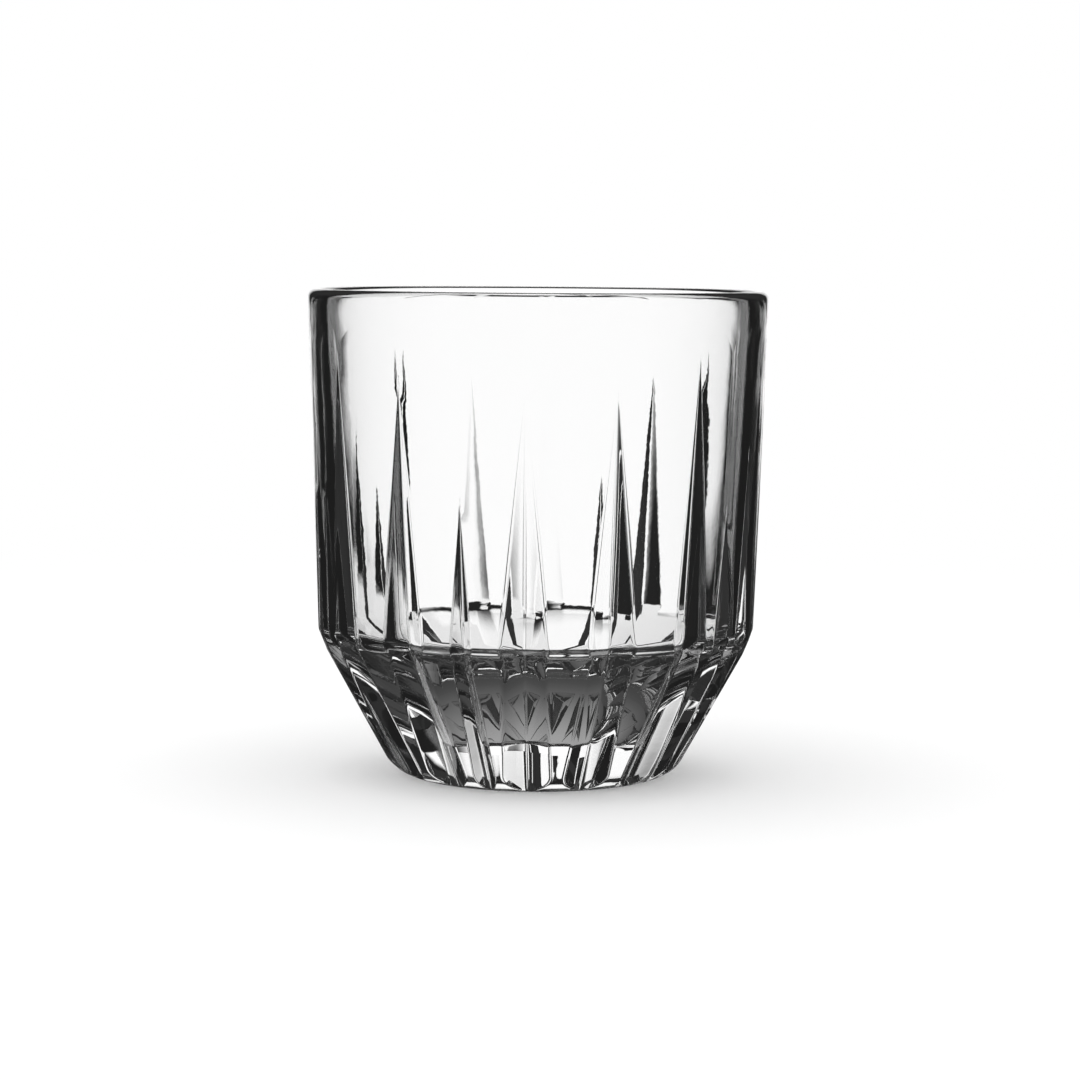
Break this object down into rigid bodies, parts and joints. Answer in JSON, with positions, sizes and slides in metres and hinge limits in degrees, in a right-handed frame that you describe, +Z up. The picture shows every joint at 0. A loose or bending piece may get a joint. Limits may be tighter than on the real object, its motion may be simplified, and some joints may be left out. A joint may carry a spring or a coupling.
{
  "type": "whisky glass",
  "caption": "Clear pressed-glass whisky tumbler with a thick base, a bevelled band above a tapered foot, pointed V-cuts of different heights from the wall to the heel and a star of grooves under the base.",
  "frame": {"origin": "centre of the resting plane under the base, on the axis of the glass", "axes": "+Z up the axis of the glass, -Y towards the viewer of the picture, +X to the viewer's right"},
  "size_m": [0.0849, 0.0848, 0.09],
  "materials": {
    "clear_glass": "fire-polished, clear"
  },
  "bodies": {
    "root": {"tumbler": "clear_glass"}
  },
  "joints": []
}
